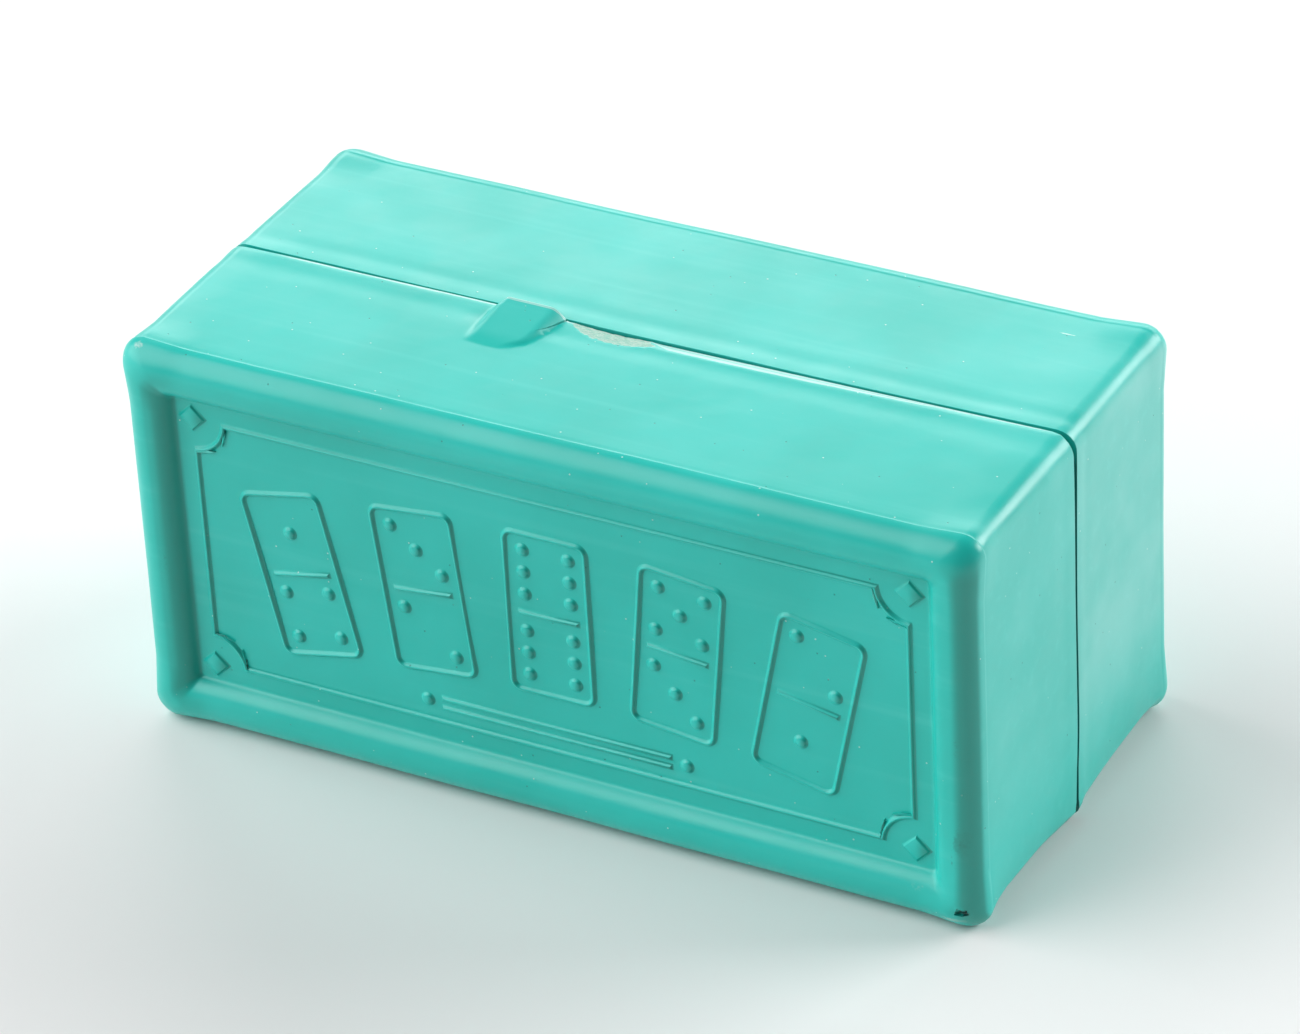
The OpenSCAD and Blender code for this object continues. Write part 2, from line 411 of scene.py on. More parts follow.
# %% Move every point of a shell by the rules
def shape_shell(piece, back_of, rim, rim_inset, seed):
    only(piece)
    normals = [v.normal.copy() for v in piece.data.vertices]
    for vertex, normal in zip(piece.data.vertices, normals):
        p = vertex.co / MM
        back = back_of(p)
        from_rim = rim - back
        out = outward(p)
        low = ease((3.5 - p.z) / 3)
        in_from_side = min(BOX_W / 2 - abs(p.x), MID_Z - abs(p.z - MID_Z))
        if back > BEAD_R:
            crease = 1.0 if piece == front else REAR_CREASE
            p -= out * wall_inset(back, rim, rim_inset, low, crease)
        framed = 1 - ease((in_from_side - 3.6) / 2.4)
        firm = 1 - 0.92 * clamp((back - BEAD_R) / (rim - BEAD_R))
        sag = firm * SAG * (1 - ball(p, back)) + 0.05 * wobble(p, 19, seed)
        p -= normal * sag * framed
        p.y += panel_wave(p, seed)
        if piece == front and out.z > 0.9 and from_rim < LIP_RUN + 2:
            p.z += shape_top(p, from_rim)
        if abs(p.y - SEAM_Y) < BOTTOM_CLEAR:
            p.z = max(p.z, WALL_SINK)
        near = ease(1 - from_rim / 6)
        apart = half_gap(p) * (1 if piece == front else -1)
        p.y += near * (rim_shift(p) - apart)
        vertex.co = p * MM
    piece.data.update()


for piece in (front, rear):
    if piece == rear:
        piece.rotation_euler[2] = pi
    piece.location.y = (-1 if piece == front else 1) * BOX_D / 2 * MM
    only(piece)
    bpy.ops.object.transform_apply(location=True, rotation=True, scale=False)

open_mesh(front)
LIP_STEP = 0.3
lip_back = front_rim_y - LIP_RUN - 1


def in_lip_zone(m, face):
    return m.z > BOX_H - 0.1 and m.y > lip_back and LIP_ZONE[0] < m.x < LIP_ZONE[1]


columns = round((LIP_ZONE[1] - LIP_ZONE[0]) / LIP_STEP)
cut(front, 0, steps(*LIP_ZONE, columns), lambda m, f: m.z > BOX_H - 0.1 and m.y > lip_back)
rows = round((front_rim_y - lip_back) / LIP_STEP)
cut(front, 1, steps(lip_back, front_rim_y, rows)[:-1], in_lip_zone)
close_mesh()
shape_shell(front, lambda p: p.y + BOX_D / 2, FRONT_D - SEAM_GAP / 2, 0.0, FRONT_SEED)
shape_shell(rear, lambda p: BOX_D / 2 - p.y, REAR_D - SEAM_GAP / 2, REAR_STEP, REAR_SEED)
print("front half faces:", len(front.data.polygons), "lip grid:", columns, "by", rows)

# %% [markdown]
# ## Wall thickness and rims
# A Solidify modifier grows the wall inward by 1.6 mm and closes the rim, as a mould core
# would. A small bevel then takes the sharpness off the rim's edges, which is what draws the
# thin bright line along both sides of the seam. The lower corners are squarer at the rim
# than at the face, so there the outer skin alone is drawn out a little.

# %% Give the shells their thickness
RIM_ROUND = 0.14
SQUARE_REACH = 10
FRONT_SQUARER, REAR_SQUARER, REAR_FLARE = 0.65, 0.3, 0.55


def thicken(piece):
    solid = piece.modifiers.new("wall", "SOLIDIFY")
    solid.thickness = WALL * MM
    solid.offset = -1
    solid.use_even_offset = True
    solid.use_quality_normals = True
    edge = piece.modifiers.new("rim", "BEVEL")
    edge.limit_method = "ANGLE"
    edge.angle_limit = radians(60)
    edge.width = RIM_ROUND * MM
    edge.segments = 2
    apply_all(piece)


def square_low_corners(piece, from_rim_of):
    """Draws the outer skin's low corners out towards the rim, where they are squarer."""
    for vertex in piece.data.vertices:
        p = vertex.co / MM
        from_rim = from_rim_of(p)
        way = across(p)
        if p.z > MID_Z or from_rim > SQUARE_REACH or way.length < EDGE_R - WALL:
            continue
        skin = ease((way.length - EDGE_R + WALL) / WALL)
        out = way.normalized()
        squarer = REAR_SQUARER + REAR_FLARE * bump(from_rim, 0, 1.6)
        if piece == front:
            squarer = FRONT_SQUARER
        near = ease(1 - from_rim / SQUARE_REACH)
        p += out * squarer * 2 * abs(out.x * out.z) * near * skin
        p.x = max(-BOX_W / 2, min(BOX_W / 2, p.x))
        if from_rim < BOTTOM_CLEAR:
            p.z = max(p.z, WALL_SINK)
        vertex.co = p * MM


thicken(front)
thicken(rear)
square_low_corners(front, lambda p: front_rim_y - p.y)
square_low_corners(rear, lambda p: p.y - SEAM_Y - SEAM_GAP / 2)
# The lip is solid and the catch needs a flat seat, so the ceilings stay level.
CEILING_Z = BOX_H - WALL_SINK - WALL
for piece in (front, rear):
    for vertex in piece.data.vertices:
        if vertex.normal.z < -0.3 and vertex.co.z > CEILING_Z * MM:
            vertex.co.z = CEILING_Z * MM
print("front half now has", len(front.data.polygons), "faces")

# %% [markdown]
# ## The raised lines on the front panel
# The mould was engraved, so the moulding carries soft raised lines about half a millimetre
# wide. The drawing is a plain one for any domino box: five tiles in a fan, a border with
# bitten corners, and a double rule. Each line is a flat outline whose face is inset step by
# step, up one side of a rounded ridge and down the other, until only the ridge is left.

# %% Helpers for raised lines
PANEL_Y = -BOX_D / 2 + PANEL_DROP
LINE_W = 0.5
FOOT = 0.2
RIDGE_UP = [(0.13, 0.05), (0.09, 0.12), (0.08, 0.11), (0.09, 0.06)]
RIDGE_DOWN = [(0.12, 0.0)] + [(width, -height) for width, height in reversed(RIDGE_UP)]
engraved = []


def upright_plane(x, z, width, height, tilt=0):
    """A plane on the panel that faces forward, grown by the foot of the ridge."""
    bpy.ops.object.select_all(action="DESELECT")
    bpy.ops.mesh.primitive_plane_add(
        size=1,
        location=(x * MM, PANEL_Y * MM, z * MM),
        rotation=(pi / 2, tilt, 0),
    )
    # The operator ignores a scale for a plane, so the object is scaled before it is applied.
    bpy.context.object.scale = ((width + 2 * FOOT) * MM, (height + 2 * FOOT) * MM, 1)
    bpy.ops.object.transform_apply(location=True, rotation=True, scale=True)
    return bpy.context.object


def upright_disc(x, z, diameter):
    bpy.ops.object.select_all(action="DESELECT")
    bpy.ops.mesh.primitive_circle_add(
        vertices=24,
        radius=(diameter / 2 + FOOT) * MM,
        fill_type="NGON",
        location=(x * MM, PANEL_Y * MM, z * MM),
        rotation=(pi / 2, 0, 0),
    )
    bpy.ops.object.transform_apply(location=True, rotation=True, scale=True)
    return bpy.context.object


def raise_ridge(piece, ring, corner_r=0):
    """Insets the flat face up over a rounded edge, and down again inside for a ring."""
    open_mesh(piece)
    bpy.ops.mesh.select_mode(type="VERT")
    bpy.ops.mesh.select_all(action="SELECT")
    if corner_r:
        bpy.ops.mesh.bevel(offset=(corner_r + FOOT) * MM, segments=6, affect="VERTICES")
    bpy.ops.mesh.select_mode(type="FACE")
    bpy.ops.mesh.select_all(action="SELECT")
    for thickness, depth in RIDGE_UP + (RIDGE_DOWN if ring else []):
        bpy.ops.mesh.inset(thickness=thickness * MM, depth=depth * MM)
    if ring:
        bpy.ops.mesh.delete(type="FACE")
    close_mesh()
    engraved.append(piece)


# %% The fan of tiles
TILE_W, TILE_H, TILE_CORNER_R = 11, 22, 1.4
TILE_PITCH, TILE_TILT = 16.5, radians(6)
FAN_RISE, FAN_SAG = 1.6, 0.7
PIP_D, PIP_SPACING = 1.5, 0.27
TILE_VALUES = [(1, 4), (3, 2), (6, 6), (5, 3), (2, 1)]


def pip_places(count):
    s = TILE_W * PIP_SPACING
    places = [(0, 0)] if count % 2 else []
    if count > 1:
        places += [(-s, s), (s, -s)]
    if count > 3:
        places += [(s, s), (-s, -s)]
    if count == 6:
        places += [(-s, 0), (s, 0)]
    return places


for number, values in enumerate(TILE_VALUES):
    step = number - 2
    tile_x, tile_z = step * TILE_PITCH, MID_Z + FAN_RISE - FAN_SAG * step * step
    tilt = step * TILE_TILT
    raise_ridge(upright_plane(tile_x, tile_z, TILE_W, TILE_H, tilt), True, TILE_CORNER_R)
    raise_ridge(upright_plane(tile_x, tile_z, TILE_W * 0.7, LINE_W, tilt), False)
    for count, middle_z in zip(values, (TILE_H / 4, -TILE_H / 4)):
        for px, pz in pip_places(count):
            x, z = px, pz + middle_z
            turned_x = x * cos(tilt) + z * sin(tilt)
            turned_z = z * cos(tilt) - x * sin(tilt)
            raise_ridge(upright_disc(tile_x + turned_x, tile_z + turned_z, PIP_D), False)
print("raised shapes on the tiles:", len(engraved))

# %% The border, its corner diamonds and the double rule
BORDER_INSET, NOTCH_R, DIAMOND_W = 2.4, 4, 2.4
RULE_Z, RULE_W, RULE_STEP, RULE_PIP_GAP = -14.2, 30, 1.3, 2
border_w = BOX_W / 2 - PANEL_INSET - BORDER_INSET
border_h = MID_Z - PANEL_INSET - BORDER_INSET


def notched_outline(half_w, half_h, bite):
    """Corner points of a plate whose corners are bitten out by circles, anticlockwise."""
    points = []
    for sx, sz in ((1, 1), (-1, 1), (-1, -1), (1, -1)):
        first, last = (pi * 1.5, pi) if sx * sz > 0 else (pi, pi * 1.5)
        for a in steps(first, last, 12):
            points.append((sx * (half_w + bite * cos(a)), sz * (half_h + bite * sin(a))))
    return points


outline = notched_outline(border_w + FOOT, border_h + FOOT, NOTCH_R)
plate = bpy.data.meshes.new("border")
corners = [(x * MM, PANEL_Y * MM, (MID_Z + z) * MM) for x, z in outline]
plate.from_pydata(corners, [], [tuple(range(len(corners)))])
border = bpy.data.objects.new("border", plate)
scene.collection.objects.link(border)
raise_ridge(border, True)
for sx in (-1, 1):
    for sz in (-1, 1):
        diamond = upright_plane(sx * border_w, MID_Z + sz * border_h, DIAMOND_W, DIAMOND_W, pi / 4)
        raise_ridge(diamond, False)
for side in (-1, 1):
    rule_z = MID_Z + RULE_Z + side * RULE_STEP / 2
    raise_ridge(upright_plane(0, rule_z, RULE_W, LINE_W), False)
    raise_ridge(upright_disc(side * (RULE_W / 2 + RULE_PIP_GAP), MID_Z + RULE_Z, PIP_D), False)

bpy.ops.object.select_all(action="DESELECT")
for piece in engraved:
    piece.select_set(True)
bpy.context.view_layer.objects.active = engraved[0]
bpy.ops.object.join()
lines = bpy.context.object
lines.name = lines.data.name = "front_raised_lines"
for vertex in lines.data.vertices:
    p = vertex.co / MM
    vertex.co.y += panel_wave(Vector((p.x, PANEL_Y, p.z)), FRONT_SEED) * MM
root = lines.modifiers.new("root", "SOLIDIFY")
root.thickness = 0.3 * MM
root.offset = -1
apply_all(lines)
print("raised lines:", len(lines.data.polygons), "faces")

# %% [markdown]
# ## Cuts: catch pocket and hinge groove
# Some hollows are cut by other solids, as a milling cutter would cut them. The pocket under
# the thumb lip takes the catch tongue's barb, and a round groove under both rims leaves room
# for the folded film that the halves turn on.

# %% Cut with Boolean modifiers
HINGE_W, FILM_R, HINGE_PLAY = 91, 0.4, 0.05
HINGE_Z = WALL_SINK - HINGE_PLAY
CATCH_W, CATCH_REACH, RIDGE_W, RIDGE_GAP, PLAY = 6, 4.5, 1.8, 0.3, 0.3
BARB_H = 0.55
POCKET_RISE = BARB_H + 0.35


def cut_away(piece, cutter):
    """Takes the cutter's solid out of the piece, then removes the cutter."""
    boolean = piece.modifiers.new("cut", "BOOLEAN")
    boolean.operation = "DIFFERENCE"
    boolean.solver = "MANIFOLD"
    boolean.material_mode = "TRANSFER"
    boolean.object = cutter
    apply_all(piece)
    bpy.data.objects.remove(cutter, do_unlink=True)


def block(low, high):
    """A box between two corners, in millimetres."""
    low, high = Vector(low), Vector(high)
    bpy.ops.object.select_all(action="DESELECT")
    bpy.ops.mesh.primitive_cube_add(
        size=1, location=(low + high) / 2 * MM, scale=(high - low) * MM
    )
    bpy.ops.object.transform_apply(location=True, rotation=False, scale=True)
    return bpy.context.object


def groove_cutter():
    bpy.ops.object.select_all(action="DESELECT")
    bpy.ops.mesh.primitive_cylinder_add(
        vertices=24,
        radius=(FILM_R + HINGE_PLAY) * MM,
        depth=(HINGE_W + 2 * PLAY) * MM,
        location=(0, SEAM_Y * MM, HINGE_Z * MM),
        rotation=(0, pi / 2, 0),
    )
    bpy.ops.object.transform_apply(location=True, rotation=True, scale=True)
    return bpy.context.object


pocket_x = CATCH_W / 2 + PLAY
ridge_back = front_rim_y - RIDGE_W
low_z = CEILING_Z - 1.2
ridge_box = block(
    (LIP_X - pocket_x, ridge_back - 0.5, low_z),
    (LIP_X + pocket_x, front_rim_y + 1, CEILING_Z + RIDGE_GAP),
)
pocket_box = block(
    (LIP_X - pocket_x, SEAM_Y - CATCH_REACH - 2 * PLAY, low_z),
    (LIP_X + pocket_x, ridge_back, CEILING_Z + POCKET_RISE),
)
cut_away(front, ridge_box)
cut_away(front, pocket_box)
cut_away(front, groove_cutter())
cut_away(rear, groove_cutter())
print("after the cuts the front half has", len(front.data.polygons), "faces")

# %% [markdown]
# ## The torn rim, the crack and the chip
# Years of prying with a thumbnail tore a sliver out of the front rim, right of the lip, and
# started a crack at the lip's end. The box was also dropped on one lower corner. Each
# damage is cut by its own solid. The tear's cutter is a grid, pulled to the slope of the
# tear and roughened, which then gets a thickness upward.

# %% Cut the tear
# Places along the box, and how far from the rim the tear's front edge lies there.
TEAR = [(-8.9, 0), (-8.5, 0.3), (-7, 1.3), (-5.6, 2.1), (-3.3, 2.7), (-1, 2.75), (1, 1.95)]
TEAR += [(2.8, 1.15), (4.4, 0.75), (6.4, 0.0)]
TEAR_SLOPE = 0.1
torn_face = bpy.data.materials.new("torn_polyethylene")
for piece, half in ((front, "front"), (rear, "rear")):
    piece.data.materials.clear()
    piece.data.materials.append(bpy.data.materials.new("turquoise_polyethylene_" + half))


def tear_cutter():
    top = BOX_H - 0.1
    bpy.ops.object.select_all(action="DESELECT")
    bpy.ops.mesh.primitive_grid_add(x_subdivisions=80, y_subdivisions=24, size=1)
    piece = bpy.context.object
    for vertex in piece.data.vertices:
        x = TEAR[0][0] + (TEAR[-1][0] - TEAR[0][0]) * (vertex.co.x + 0.5)
        from_rim = 3.9 - 5.4 * (vertex.co.y + 0.5)
        spot = Vector((x, from_rim, 0))
        ahead = from_rim - along(TEAR, x)
        z = top + ahead * (TEAR_SLOPE if ahead < 0 else 1.2)
        z += 0.03 * wobble(spot, 0.9, 3) + 0.02 * wobble(spot, 0.35, 8)
        rim = front_rim_y + rim_shift(Vector((x, 0, BOX_H)))
        vertex.co = Vector((x, rim - from_rim, z)) * MM
    thick = piece.modifiers.new("thick", "SOLIDIFY")
    thick.thickness = 3 * MM
    thick.offset = 1
    apply_all(piece)
    piece.data.materials.append(torn_face)
    return piece


near_tear = [v.co for v in front.data.vertices if v.normal.z > 0.9 and abs(v.co.x) < 4 * MM]
print("the top wall's height near the tear:", round(max(p.z for p in near_tear) / MM, 2), "mm")
cut_away(front, tear_cutter())

# %% Cut the crack and the chipped corner
CRACK = [(-8.7, 0.6), (-9.1, -1.2), (-9.7, -2.8), (-10.3, -4.2), (-10.9, -5.3)]
CRACK_W = 0.26
CHIP = Vector((52.6, -26.95, 3.1))
CHIP_REACH = (1.3, 0.9, 0.75)


def crack_cutter():
    """A thin block, pulled along the path of the crack and to a point at its end."""
    piece = block((0, -1, BOX_H - 1.3), (1, 1, BOX_H + 3))
    open_mesh(piece)
    cut(piece, 0, steps(0, 1, 8)[1:-1])
    close_mesh()
    path = [(i / (len(CRACK) - 1), point) for i, point in enumerate(CRACK)]
    for vertex in piece.data.vertices:
        p = vertex.co / MM
        x = along([(t, point[0]) for t, point in path], p.x)
        y = along([(t, point[1]) for t, point in path], p.x)
        x += p.y * CRACK_W / 2 * (1.05 - p.x)
        vertex.co = Vector((x, y, p.z)) * MM
    return piece


def chip_cutter():
    """A rough pebble that bites the lower right corner of the face."""
    bpy.ops.object.select_all(action="DESELECT")
    bpy.ops.mesh.primitive_ico_sphere_add(subdivisions=4, radius=1)
    piece = bpy.context.object
    for vertex in piece.data.vertices:
        way = vertex.co.normalized()
        reach = 0.75 + 0.25 * wobble(way, 0.7, 12)
        pulled = Vector([part * size for part, size in zip(way, CHIP_REACH)])
        vertex.co = (CHIP + pulled * reach) * MM
    piece.data.materials.append(front.data.materials[0])
    return piece


cut_away(front, crack_cutter())
cut_away(front, chip_cutter())
print("with its damage the front half has", len(front.data.polygons), "faces")

# %% [markdown]
# ## Put the pieces on the moving bodies
# The front half turns about the film, and the rear half stands still. The new shells stand
# for the CAD shells, which the simulation keeps for collision. The raised lines belong to the front
# half and are joined to it, because the real tray and its lines are one moulding.

# %% Ride on the bodies
lines.data.materials.append(front.material_slots[0].material)
bpy.ops.object.select_all(action="DESELECT")
lines.select_set(True)
front.select_set(True)
bpy.context.view_layer.objects.active = front
bpy.ops.object.join()
for piece in (front, rear):
    only(piece)
    bpy.ops.object.shade_smooth_by_angle(angle=radians(35))
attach(front, "front_half")
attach(rear, "rear_half")
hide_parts("front_shell")
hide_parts("rear_shell")
for piece in (front, rear):
    triangles = sum(len(face.vertices) - 2 for face in piece.data.polygons)
    print(piece.name, "has", triangles, "triangles")

# %% [markdown]
# ## Helpers for materials
# Every colour is written as the sRGB hex value that the eye sees, and one function turns it
# to the linear numbers that shaders work in. One helper adds a node with its settings, its
# values and its links, so that a material reads from top to bottom like a recipe. The nodes
# that come up most have a short name in a table, which also says where their values go.

# %% Colours and nodes
# Short name: the kind of node, the inputs its values go to, its output, its settings.
SHORT_NAMES = {
    "blend": ("Mix", (0, 6, 7), 2, {"data_type": "RGBA"}),
    "clouds": ("TexNoise", ("Vector", "Scale", "Detail", "Roughness"), 0, {}),
    "spread": ("MapRange", (0, 1, 2, 3, 4), 0, {"interpolation_type": "SMOOTHSTEP"}),
    "plus": ("Math", (0, 1), 0, {"operation": "ADD"}),
    "minus": ("Math", (0, 1), 0, {"operation": "SUBTRACT"}),
    "times": ("Math", (0, 1), 0, {"operation": "MULTIPLY"}),
    "over": ("Math", (0, 1), 0, {"operation": "DIVIDE"}),
    "absolute": ("Math", (0,), 0, {"operation": "ABSOLUTE"}),
}


def linear(hex_code):
    """An sRGB hex colour as linear red, green, blue and alpha."""
    parts = [int(hex_code[i : i + 2], 16) / 255 for i in (1, 3, 5)]
    parts = [c / 12.92 if c <= 0.04045 else ((c + 0.055) / 1.055) ** 2.4 for c in parts]
    return (*parts, 1.0)


def add(tree, kind, *values, **settings):
    """Adds a node and returns it. A short name takes its values in order and returns its
    output, any other kind takes them in a dict. Values that are sockets are linked."""
    kind, places, result, presets = SHORT_NAMES.get(kind, (kind, (), None, {}))
    item = tree.nodes.new("ShaderNode" + kind)
    for name, setting in {**presets, **settings}.items():
        setattr(item, name, setting)
    named = dict(zip(places, values)) if places else dict(*values)
    for name, value in named.items():
        if isinstance(value, bpy.types.NodeSocket):
            tree.links.new(value, item.inputs[name])
        else:
            item.inputs[name].default_value = value
    return item if result is None else item.outputs[result]


def new_material(name):
    """An empty material and its tree, with its Principled shader linked to the output."""
    material = bpy.data.materials.get(name) or bpy.data.materials.new(name)
    material.use_nodes = True
    tree = material.node_tree
    tree.nodes.clear()
    shader = add(tree, "BsdfPrincipled")
    add(tree, "OutputMaterial", {"Surface": shader.outputs["BSDF"]})
    return material, tree, shader


# %% [markdown]
# ## Turquoise polyethylene
# The box is low density polyethylene, injection moulded in a polished steel mould. That
# gives the eye a strong, even colour with slow clouds of darker and greener tint, a waxy
# sheen that is neither matt nor glossy, and fine streaks along the way the plastic flowed.
# Years of use added pale specks of dust, pin holes, white stress marks at the corners and grey
# smudges where hands and tables rubbed it. Light and shade are painted into the colour too: a pale
# sheen on the end walls, shade in the seam's gap, in the pin holes and in the chip, shade on the
# right bead's outer flank, a paler lip and a highlight along the front rim. The number after a
# cloud's place is how many of them fit in a millimetre, and the next one is how much fine detail
# they have.

# %% Pattern helpers, all in millimetres
POLYETHYLENE_IOR = 1.54


def in_millimetres(tree, stretch=(1, 1, 1)):
    """Object coordinates in millimetres, stretched where a pattern runs one way."""
    source = add(tree, "TexCoord").outputs["Object"]
    scale = tuple(1 / MM / s for s in stretch)
    return add(tree, "Mapping", {"Vector": source, "Scale": scale}).outputs[0]


def specks(tree, place, spacing, radius):
    """1 in small round dots, on average this far apart in space."""
    cells = add(tree, "TexVoronoi", {"Vector": place, "Scale": 1 / spacing, "Randomness": 1.0})
    edge = radius / spacing
    return add(tree, "spread", cells.outputs["Distance"], edge, 0.55 * edge)


def mark(tree, place, centre, reach, grain, fill):
    """A patch round a point, of wear, dirt or painted shade: full in the middle, broken up towards
    its rim.
    """
    away = add(tree, "VectorMath", {0: place, 1: centre}, operation="SUBTRACT").outputs[0]
    scaled = add(tree, "VectorMath", {0: away, 1: reach}, operation="DIVIDE").outputs[0]
    length = add(tree, "VectorMath", {0: scaled}, operation="LENGTH").outputs["Value"]
    near = add(tree, "spread", length, 1.0, 0.0)
    broken = add(tree, "plus", near, add(tree, "minus", grain, fill))
    patchy = add(tree, "spread", broken, 0.35, 0.75)
    return add(tree, "times", patchy, add(tree, "spread", length, 1.0, 0.7))


# %% Painted light and shade on the front half
def rim_highlight_strip(tree, place):
    """1 where a highlight is painted on the slope that thumbs wore along the front rim, in stripes
    along the box.
    """
    axes = add(tree, "SeparateXYZ", {0: place})
    x, y, z = axes.outputs[0], axes.outputs[1], axes.outputs[2]
    wide = add(tree, "spread", x, 2, 5, 0.42, 1.4)
    narrow = add(tree, "times", wide, add(tree, "spread", x, 12, 46, 1.0, 0.3))
    ragged = add(tree, "clouds", in_millimetres(tree, (5, 1, 1)), 1, 3)
    ragged = add(tree, "minus", add(tree, "times", ragged, 0.3), 0.15)
    width = add(tree, "plus", narrow, ragged)
    straight = front_rim_y + RIM_SHIFT
    wander = add(tree, "spread", x, 25, 52, straight, straight + 0.35)
    from_rim = add(tree, "minus", wander, y)
    inside = add(tree, "spread", add(tree, "minus", width, from_rim), 0.0, 0.12)
    on_top = add(tree, "spread", z, BOX_H - 1.1, BOX_H - 0.8)
    on_top = add(tree, "times", on_top, add(tree, "spread", from_rim, -0.2, 0.0))
    ends = add(tree, "times", add(tree, "spread", x, -49, -44), add(tree, "spread", x, 53, 50))
    # A darker line parts the painted highlight lengthwise into two bright lines.
    share = add(tree, "over", from_rim, width)
    dark = add(tree, "spread", share, 0.3, 0.4)
    dark = add(tree, "times", dark, add(tree, "spread", share, 0.62, 0.5))
    stripe = add(tree, "spread", add(tree, "minus", 1.0, dark), 0.0, 1.0, 0.45, 1.0)
    placed = add(tree, "times", inside, on_top)
    return add(tree, "times", placed, add(tree, "times", ends, stripe))


def front_painted_light(tree, place, turned, colour):
    """Painted light on the front half: shade on the right bead, a paler lip and a highlight on the
    worn slope.
    """
    height_here = add(tree, "SeparateXYZ", {0: place}).outputs["Z"]
    facing = add(tree, "SeparateXYZ", {0: turned})
    along_x = add(tree, "absolute", facing.outputs["X"])
    along_y = add(tree, "absolute", facing.outputs["Y"])
    # Painted shade: the right bead's outer flank is darkened, where the lights hardly reach.
    flank = add(tree, "VectorMath", {0: turned, 1: (0.8, -0.6, 0)}, operation="DOT_PRODUCT")
    painted_bead_shade = add(tree, "spread", flank.outputs["Value"], 0.55, 0.85)
    painted_bead_shade = add(tree, "times", painted_bead_shade, add(tree, "spread", height_here, 51, 47))
    painted_bead_shade = add(tree, "times", painted_bead_shade, add(tree, "spread", along_x, 0.98, 0.88))
    colour = add(tree, "blend", add(tree, "times", painted_bead_shade, 0.85), colour, linear("#179C8E"))
    # Painted light: the lip is made a little paler.
    painted_lip_light = add(tree, "spread", height_here, BOX_H, BOX_H + 0.35, 0, 0.3)
    colour = add(tree, "blend", painted_lip_light, colour, linear("#5FDBD1"))
    # Painted highlight: the worn slope along the rim is coloured pale, as the light it catches
    # would make it.
    on_slope = add(tree, "spread", along_y, 0.9, 0.75, 0, 0.9)
    pale = add(tree, "times", rim_highlight_strip(tree, place), on_slope)
    return add(tree, "blend", pale, colour, linear("#B0E2DA"))


# %% The polyethylene itself
def polyethylene(name, deep="#1CC3B6", marks=(), worn=False, dust_and_sheen_veil=0.1):
    material, tree, shader = new_material(name)
    place = in_millimetres(tree)
    axes = add(tree, "SeparateXYZ", {0: place})
    depth_here, height_here = axes.outputs["Y"], axes.outputs["Z"]
    tint = add(tree, "spread", add(tree, "clouds", place, 1 / 22, 3), 0.35, 0.65)
    colour = add(tree, "blend", tint, linear(deep), linear("#24CBBF"))
    # Flow streaks run along the box, many times longer than they are wide.
    streaks = add(tree, "clouds", in_millimetres(tree, (60, 1.6, 1.6)), 1, 2)
    streaks = add(tree, "spread", streaks, 0.5, 0.9, 0, 0.35)
    colour = add(tree, "blend", streaks, colour, linear("#4CD6CB"))
    dust = specks(tree, place, 2.6, 0.14)
    shaded_pits = specks(tree, in_millimetres(tree, (1.01, 0.99, 1.02)), 3.1, 0.13)
    grain = add(tree, "clouds", place, 2, 4, 0.65)
    # Painted sheen with a little dust: a pale veil lightens the end walls, as their reflection of
    # the bright room would, least near the floor.
    turned = add(tree, "TexCoord").outputs["Normal"]
    facing = add(tree, "SeparateXYZ", {0: turned})
    along_x = add(tree, "absolute", facing.outputs["X"])
    along_y = add(tree, "absolute", facing.outputs["Y"])
    dust_and_sheen_share = add(tree, "spread", tint, 0, 1, 0.7 * dust_and_sheen_veil, 1.3 * dust_and_sheen_veil)
    dust_and_sheen_share = add(tree, "times", add(tree, "spread", along_x, 0.8, 1.0), dust_and_sheen_share)
    dust_and_sheen_share = add(tree, "times", dust_and_sheen_share, add(tree, "spread", height_here, 2, 24, 0.2, 1.1))
    colour = add(tree, "blend", dust_and_sheen_share, colour, linear("#CFE9E5"))
    # Painted shade darkens the rims' faces in the gap, less at the top.
    seam = add(tree, "absolute", add(tree, "minus", depth_here, SEAM_Y + 0.4))
    painted_gap_shade = add(tree, "spread", seam, 1.3, 1.0)
    painted_gap_shade = add(tree, "times", painted_gap_shade, add(tree, "spread", along_y, 0.75, 0.95))
    fading = add(tree, "spread", height_here, BOX_H - 5, BOX_H - 2, 0.75, 0.3)
    colour = add(tree, "blend", add(tree, "times", painted_gap_shade, fading), colour, linear("#0B4E47"))
    colour = add(tree, "blend", add(tree, "times", dust, 0.6), colour, linear("#DDF5F0"))
    # Painted shade: the pin holes are coloured darker, as shade inside them would make them.
    colour = add(tree, "blend", add(tree, "times", shaded_pits, 0.7), colour, linear("#14776E"))
    for centre, reach, hex_code, strength, fill in marks:
        share = add(tree, "times", mark(tree, place, centre, reach, grain, fill), strength)
        colour = add(tree, "blend", share, colour, linear(hex_code))
    # With worn set, the front half also gets its painted shade, painted light and painted
    # highlight.
    if worn:
        colour = front_painted_light(tree, place, turned, colour)
    tree.links.new(colour, shader.inputs["Base Color"])
    sheen = add(tree, "clouds", place, 1 / 7, 3)
    sheen = add(tree, "spread", sheen, 0.3, 0.7, 0.285, 0.365)
    tree.links.new(sheen, shader.inputs["Roughness"])
    shader.inputs["IOR"].default_value = POLYETHYLENE_IOR
    # Slow waves from shrinkage, a fine skin, and pits that go in a little.
    waves = add(tree, "times", add(tree, "clouds", place, 1 / 9, 2), 0.10)
    skin = add(tree, "times", add(tree, "clouds", place, 1 / 0.9, 0), 0.004)
    height = add(tree, "plus", waves, skin)
    height = add(tree, "minus", height, add(tree, "times", shaded_pits, 0.05))
    height = add(tree, "plus", height, add(tree, "times", dust, 0.03))
    relief = add(tree, "Bump", {"Height": height, "Distance": MM, "Strength": 1.0})
    tree.links.new(relief.outputs[0], shader.inputs["Normal"])
    return material


